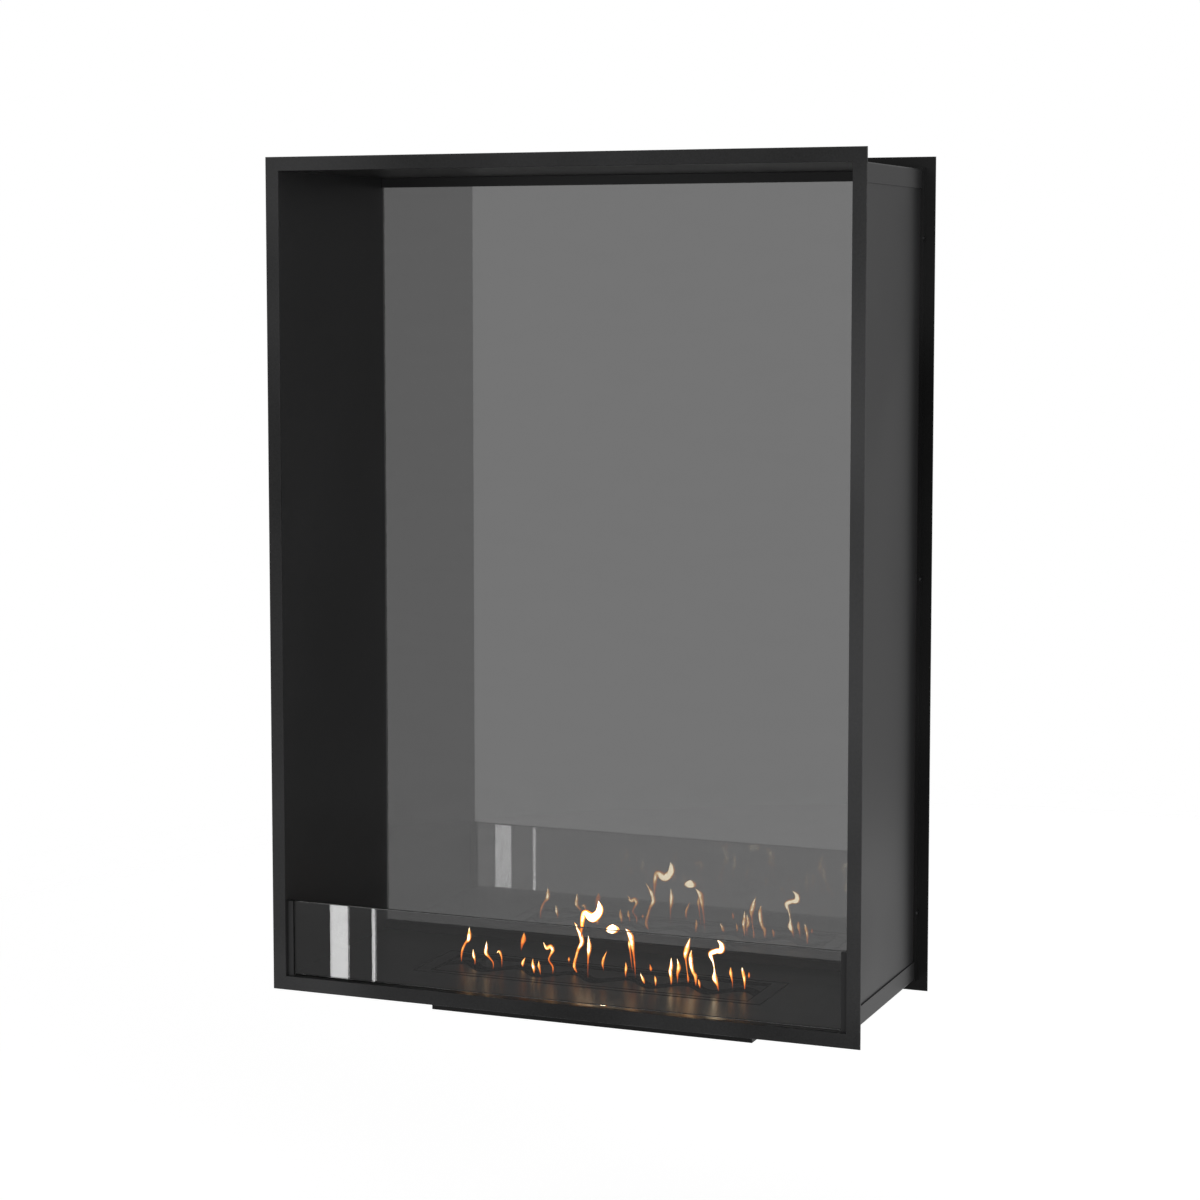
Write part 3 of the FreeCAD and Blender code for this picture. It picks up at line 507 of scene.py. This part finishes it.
# Each flame has its foot along the gap in mm, its heat, and its spine as (across, up, half width) in mm.
FLAMES = [
    (-166, 1.0, [(0, 2, 0.3), (0, 9, 0.9), (1.5, 16, 1.3), (5, 23, 1.3), (8.5, 27, 2.1), (9.5, 33, 2.2),
                 (9.5, 41, 0)]),
    (-147, 0.9, [(0, 2, 0.3), (0, 7, 0.8), (-1.5, 12, 1.6), (-2, 19, 0)]),
    (-120, 0.9, [(0, 2, 0.3), (0, 9, 0.7), (-4, 14, 1.0), (-8.5, 19, 1.9), (-8, 25, 1.7), (-7.5, 32, 0)]),
    (-113, 0.8, [(0, 2, 0.2), (0, 10, 0.5), (-0.5, 15, 0.9), (-3, 20.5, 1.3), (-6, 18, 0)]),
    (-96, 0.5, [(0, 2, 0.2), (0, 18, 0.4), (1, 26, 1.7), (3, 33, 2.8), (3.5, 40, 0)]),
    (-94, 0.7, [(0, 2, 0.3), (0, 7, 1.7), (3, 13, 0)]),
    (-72, 0.9, [(0, 2, 0.3), (-0.5, 8, 1.7), (-1.5, 12, 1.6), (-1.5, 18, 0)]),
    (-63, 0.8, [(0, 2, 0.3), (-1, 8, 1.0), (-2, 12, 1.5), (-2, 17, 0)]),
    (-52, 0.9, [(0, 2, 0.3), (0, 10, 1.0), (-4.5, 17, 0.9), (-2.5, 23, 1.2), (0, 28, 2.0),
                (-2.5, 32, 2.2), (-7, 30, 2.0), (-11, 36, 0)]),
    (-39, 0.6, [(0, 2, 0.2), (0, 13, 0.3), (0, 16, 1.2), (0, 19, 0)]),
    (-31, 1.0, [(0, 2, 0.6), (-3, 9, 1.6), (-0.5, 20, 1.4), (2, 28, 1.7), (6, 36, 2.5), (3, 46, 2.0),
                (-3.5, 56, 0)]),
    (-25, 1.6, [(0, 2, 0.1), (-1, 25, 0.2), (0, 42, 0.7), (0.5, 51, 1.6), (1, 60, 2.5), (4, 68, 3.2),
                (12.5, 63.5, 5.0), (19.5, 69, 4.2), (21, 75, 3.4), (19.5, 82, 0)]),
    (-11, 1.0, [(0, 2, 0.3), (0, 16, 0.7), (0.5, 25, 1.2), (1.5, 36, 2.5), (0.5, 48, 0)]),
    (8, 0.7, [(0, 2, 0.1), (0, 13, 0.3), (-1, 19, 1.2), (0, 25, 1.3), (4, 34, 0)]),
    (15, 1.6, [(0, 2, 0.1), (0, 40, 0.1), (0, 51, 0.6), (0, 52, 3.6), (0, 53.5, 6.4), (0, 55.5, 7.4),
               (0, 57.5, 6.2), (0, 59.5, 3.4), (0, 60.5, 0)]),
    (26, 0.7, [(0, 2, 0.3), (0, 8, 1.0), (0.5, 13, 1.5), (0, 19, 0)]),
    (34, 0.7, [(0, 2, 0.1), (-2, 18, 0.5), (-3.5, 30, 0.9), (-4.5, 40, 1.5), (-3, 46, 0)]),
    (37, 1.1, [(0, 2, 0.3), (-1, 18, 0.9), (-2.5, 30, 1.3), (-4, 40, 2.6), (-5.5, 47, 3.2), (-8, 51, 2.0),
               (-12, 54, 0)]),
    (54, 0.9, [(0, 2, 0.4), (-2, 7, 1.6), (-5, 13, 0)]),
    (63, 0.4, [(0, 2, 0.2), (0, 16, 0.3), (0, 20, 1.5), (-1, 25, 0)]),
    (68, 0.7, [(0, 2, 0.3), (0, 9, 1.2), (-1, 13, 0)]),
    (81, 1.0, [(0, 2, 0.4), (0, 8, 1.3), (-1, 16, 1.9), (0, 22, 1.9), (0, 31, 0)]),
    (86, 0.9, [(0, 2, 0.3), (0, 8, 0.8), (0, 13, 1.4), (1.5, 20, 2.2), (-0.5, 29, 0)]),
    (96, 1.0, [(0, 2, 0.3), (0, 7, 1.2), (-1, 14, 0.5), (-2.5, 26, 1.0), (-3, 33, 2.5), (-1, 41, 2.6),
               (2, 51, 0)]),
    (107, 1.0, [(0, 2, 0.4), (-0.5, 12, 1.9), (-3.5, 17, 1.7), (-5.5, 25, 2.3), (-6, 33, 2.0),
                (-5, 40, 0)]),
    (115, 0.7, [(0, 2, 0.3), (-1, 8, 1.3), (-2, 12, 0)]),
    (137, 1.3, [(0, 2, 0.3), (-1.5, 9, 1.4), (-4.5, 16, 2.9), (-4.5, 23, 0.9), (-6, 32, 0.9),
                (-9, 41, 2.7), (-3, 44.5, 2.9), (3, 46, 3.3), (3, 52, 2.6), (-2, 57, 0)]),
    (148, 0.8, [(0, 2, 0.2), (0, 9, 0.6), (-1, 15, 1.1), (-2, 20, 1.7), (-2, 26, 0)]),
    (159, 0.9, [(0, 2, 0.4), (0, 8, 1.0), (-0.5, 14, 1.6), (-2, 20, 1.6), (-3, 25, 0)]),
    (164, 0.4, [(0, 2, 0.2), (0, 13, 0.4), (0, 17, 1.2), (0, 21, 0)]),
]


def through(stations, count):
    """A smooth curve through stations: a Catmull-Rom spline, sampled evenly in its parameter."""
    ends = np.vstack([2 * stations[0] - stations[1], stations, 2 * stations[-1] - stations[-2]])
    way = np.linspace(0, len(stations) - 1, count)
    start = np.minimum(way.astype(int), len(stations) - 2)
    t = (way - start)[:, None]
    before, here, there, after = (ends[start + step] for step in range(4))
    return 0.5 * (2 * here + (there - before) * t + (2 * before - 5 * here + 4 * there - after) * t**2
                  + (3 * here - before - 3 * there + after) * t**3)


def flame_tongue(spine, hot):
    """An ellipse carried along the spine, across it and along Y. Returns points and their heat.

    Going up, the heat grows with the greatest width so far, so thin feet are dim and a head stays hot
    to its tip. Round the ellipse it falls from the middle to the two edges with the cosine's square.
    """
    across, up, half = through(np.array(spine, float) / 1000, FLAME_ROWS).T
    half = np.maximum(half, 1e-5)[:, None]
    run, rise = np.gradient(across)[:, None], np.gradient(up)[:, None]
    length = np.hypot(run, rise)
    angle = np.linspace(0, 2 * math.pi, FLAME_COLUMNS, endpoint=False)
    side = half * np.cos(angle)
    points = np.stack([across[:, None] + side * rise / length, FLAME_DEPTH * half * np.sin(angle),
                       up[:, None] - side * run / length], axis=-1)
    grown = np.maximum.accumulate(half) / half.max()
    return points, hot * grown * (1 - 0.9 * np.cos(angle) ** 2)


def burning(name):
    """Light of a flame by its heat: deep orange and see-through at the edges, white in the middle."""
    material, tree, shader, place = new_material(name)
    heat = add(tree, "ShaderNodeAttribute", attribute_name="flame_heat").outputs["Fac"]
    flicker = spread(tree, noise(tree, place, 160.0, detail=3.0), 0.25, 0.75, 0.75, 1.25)
    uneven = maths(tree, "MULTIPLY", heat, flicker)
    ramp = add(tree, "ShaderNodeValToRGB", {"Fac": uneven})
    stops = ramp.color_ramp.elements
    stops[0].position, stops[0].color = 0.05, (0.06, 0.008, 0.001, 1.0)
    stops[1].position, stops[1].color = 1.0, (1.0, 0.88, 0.62, 1.0)
    stops.new(0.3).color = (0.22, 0.04, 0.004, 1.0)
    stops.new(0.55).color = (0.36, 0.13, 0.02, 1.0)
    stops.new(0.78).color = (0.55, 0.32, 0.1, 1.0)
    set_inputs(tree, shader, {
        "Base Color": (0.0, 0.0, 0.0, 1.0),
        "Specular IOR Level": 0.0,
        "Alpha": spread(tree, uneven, 0.06, 0.3),
        "Emission Color": ramp.outputs["Color"],
        "Emission Strength": 8.0})
    return material


flame_light = burning("flame_light")
flame_faces = shell_faces(FLAME_ROWS, FLAME_COLUMNS)
for number, (foot, hot, spine) in enumerate(FLAMES, start=1):
    points, heat = flame_tongue(spine, hot)
    foot_x = foot / 1000
    foot_y = gap_middle - WAVE_HEIGHT * math.cos(2 * math.pi * foot_x / WAVE_PITCH)
    standing = points + np.array([foot_x, foot_y, FLAMES_FROM])
    flame = new_piece(f"flame_{number:02d}", standing, flame_faces, flame_light)
    flame.data.attributes.new("flame_heat", "FLOAT", "POINT").data.foreach_set("value", heat.ravel())
    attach(flame, "burner")
    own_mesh(flame)

# Stage: a pale floor well below, since the fireplace hangs in its wall opening. It shows only from
# above and fades out at its rim. Soft studio light comes from the front right, and from an even white
# surround that is darker where the low front and the rear show in coat and glass.
FLOOR_LEVEL, FLOOR_REACH, FLOOR_MIDDLE = -0.40, 2.2, 1.50
FLOOR_ROWS, FLOOR_COLUMNS = 24, 64
FLOOR_SEEN, FLOOR_MIRRORED = 0.52, 0.2
FADE_FROM, FADE_TO = 0.6, 0.98
WHITE = (1.0, 1.0, 1.0, 1.0)
FLOOR_GREY = (0.8, 0.8, 0.8, 1.0)
radius = np.linspace(FLOOR_REACH, 0.0, FLOOR_ROWS)[:, None]
turn = np.linspace(0, 2 * math.pi, FLOOR_COLUMNS, endpoint=False)
floor_points = np.stack([radius * np.cos(turn), FLOOR_MIDDLE + radius * np.sin(turn),
                         np.full((FLOOR_ROWS, FLOOR_COLUMNS), FLOOR_LEVEL)], axis=-1)
floor_paint = bpy.data.materials.new("floor_paint")
floor_paint.use_nodes = True
tree = floor_paint.node_tree
tree.nodes.clear()
rays = add(tree, "ShaderNodeLightPath").outputs
seen = maths(tree, "MAXIMUM", rays["Is Camera Ray"], rays["Is Transmission Ray"])
lifted = maths(tree, "MAXIMUM", maths(tree, "MULTIPLY", seen, FLOOR_SEEN),
               maths(tree, "MULTIPLY", rays["Is Glossy Ray"], FLOOR_MIRRORED))
matt = add(tree, "ShaderNodeBsdfDiffuse", {"Color": FLOOR_GREY})
lift = add(tree, "ShaderNodeEmission", {"Color": WHITE, "Strength": lifted})
lit = add(tree, "ShaderNodeAddShader", {0: matt.outputs[0], 1: lift.outputs[0]})
place = add(tree, "ShaderNodeTexCoord").outputs["Object"]
centred = vectors(tree, "SUBTRACT", place, (0.0, FLOOR_MIDDLE, FLOOR_LEVEL))
distance = add(tree, "ShaderNodeVectorMath", {0: centred}, operation="LENGTH").outputs["Value"]
fade = spread(tree, distance, FADE_FROM * FLOOR_REACH, FADE_TO * FLOOR_REACH)
from_below = add(tree, "ShaderNodeNewGeometry").outputs["Backfacing"]
unseen = maths(tree, "MAXIMUM", fade, from_below)
gone = add(tree, "ShaderNodeBsdfTransparent")
faded = add(tree, "ShaderNodeMixShader", {0: unseen, 1: lit.outputs[0], 2: gone.outputs[0]})
add(tree, "ShaderNodeOutputMaterial", {"Surface": faded.outputs[0]})
floor = new_piece("floor", floor_points, ring_faces(FLOOR_ROWS, FLOOR_COLUMNS), floor_paint)

SURROUND_LIGHT = 0.6
LOW_SHINE, REAR_SHINE = 0.28, 0.40
LOW_TILT = (0.08, 0.0, 1.0)
LOW_FROM, LOW_TO = -0.2545, -0.2495
REAR_FROM, REAR_TO = -0.1, 0.1
world = bpy.data.worlds.new("studio")
bpy.context.scene.world = world
world.use_nodes = True
tree = world.node_tree
tree.nodes.clear()
rays = add(tree, "ShaderNodeLightPath").outputs
direction = add(tree, "ShaderNodeTexCoord").outputs["Generated"]
tilted = add(tree, "ShaderNodeVectorMath", {0: direction, 1: LOW_TILT}, operation="DOT_PRODUCT")
low = spread(tree, tilted.outputs["Value"], LOW_FROM, LOW_TO, 1.0 - LOW_SHINE, 0.0)
rearward = add(tree, "ShaderNodeSeparateXYZ", {"Vector": direction}).outputs["Y"]
rear = spread(tree, rearward, REAR_FROM, REAR_TO)
low_front = maths(tree, "MULTIPLY", low, maths(tree, "SUBTRACT", 1.0, rear))
dimmed = maths(tree, "MULTIPLY", rays["Is Glossy Ray"], 1.0 - REAR_SHINE)
rear_gloss = maths(tree, "MULTIPLY", rear, dimmed)
backdrop = maths(tree, "SUBTRACT", 1.0, maths(tree, "ADD", low_front, rear_gloss))
reflected = maths(tree, "MINIMUM", rays["Glossy Depth"], 1.0)
seen = maths(tree, "MAXIMUM", rays["Is Camera Ray"], rays["Is Transmission Ray"])
shows = maths(tree, "MAXIMUM", seen, rays["Is Glossy Ray"])
strength = add(tree, "ShaderNodeMix", {"Factor": reflected, "A": 1.0, "B": backdrop}).outputs["Result"]
even = add(tree, "ShaderNodeBackground", {"Color": WHITE, "Strength": SURROUND_LIGHT})
white = add(tree, "ShaderNodeBackground", {"Color": WHITE, "Strength": strength})
chosen = add(tree, "ShaderNodeMixShader", {0: shows, 1: even.outputs[0], 2: white.outputs[0]})
add(tree, "ShaderNodeOutputWorld", {"Surface": chosen.outputs[0]})


def softbox(name, place, aim, width, height, watts):
    """A rectangular lamp at a place, turned to face a point. The camera doesn't see it."""
    lamp = bpy.data.lights.new(name, "AREA")
    lamp.shape = "RECTANGLE"
    lamp.size, lamp.size_y, lamp.energy = width, height, watts
    holder = bpy.data.objects.new(name, lamp)
    holder.location = place
    away = np.array(place) - np.array(aim)
    holder.rotation_euler = (math.acos(away[2] / np.linalg.norm(away)), 0, math.atan2(away[0], -away[1]))
    holder.visible_camera = False
    bpy.context.scene.collection.objects.link(holder)
    return holder


KEY_PLACE, KEY_AIM = (2.3, -1.9, 0.7), (0.0, 0.1, 0.4)
KEY_SIDE, KEY_WATTS = 1.4, 30.0
key = softbox("key_softbox", KEY_PLACE, KEY_AIM, KEY_SIDE, KEY_SIDE, KEY_WATTS)
key.visible_transmission = False

# Two narrow strip lamps stand in front on the left. They give the two pale upright stripes in the low
# screen, and each one's watts follow from its area and the radiance that both share.
STRIPS = [("wide_strip", -0.398, -0.375), ("narrow_strip", -0.3438, -0.3400)]
STRIP_TALL, STRIP_MIDDLE, STRIP_FRONT = 0.098, -0.023, -0.26
STRIP_RADIANCE = 5.6
for strip, left, right in STRIPS:
    wide = right - left
    middle = (left + right) / 2
    softbox(strip, (middle, STRIP_FRONT, STRIP_MIDDLE), (middle, 0.0, STRIP_MIDDLE), wide, STRIP_TALL,
            STRIP_RADIANCE * math.pi * wide * STRIP_TALL)

# Camera: level with the upper third of the fireplace and to its right, with a long lens, as a
# catalogue view is taken. Yaw and pitch are in degrees.
CAMERA_PLACE = (1.0985, -2.6076, 0.7420)
CAMERA_YAW, CAMERA_PITCH = 21.917, 5.040
CAMERA_LENS, CAMERA_SHIFT = 84.459, -0.06
camera_data = bpy.data.cameras.new("catalogue_camera")
camera_data.lens = CAMERA_LENS
camera_data.shift_y = CAMERA_SHIFT
camera = bpy.data.objects.new("catalogue_camera", camera_data)
camera.location = CAMERA_PLACE
camera.rotation_euler = (math.radians(90 - CAMERA_PITCH), 0.0, math.radians(CAMERA_YAW))
bpy.context.scene.collection.objects.link(camera)
bpy.context.scene.camera = camera
bpy.context.scene.view_settings.view_transform = "Standard"
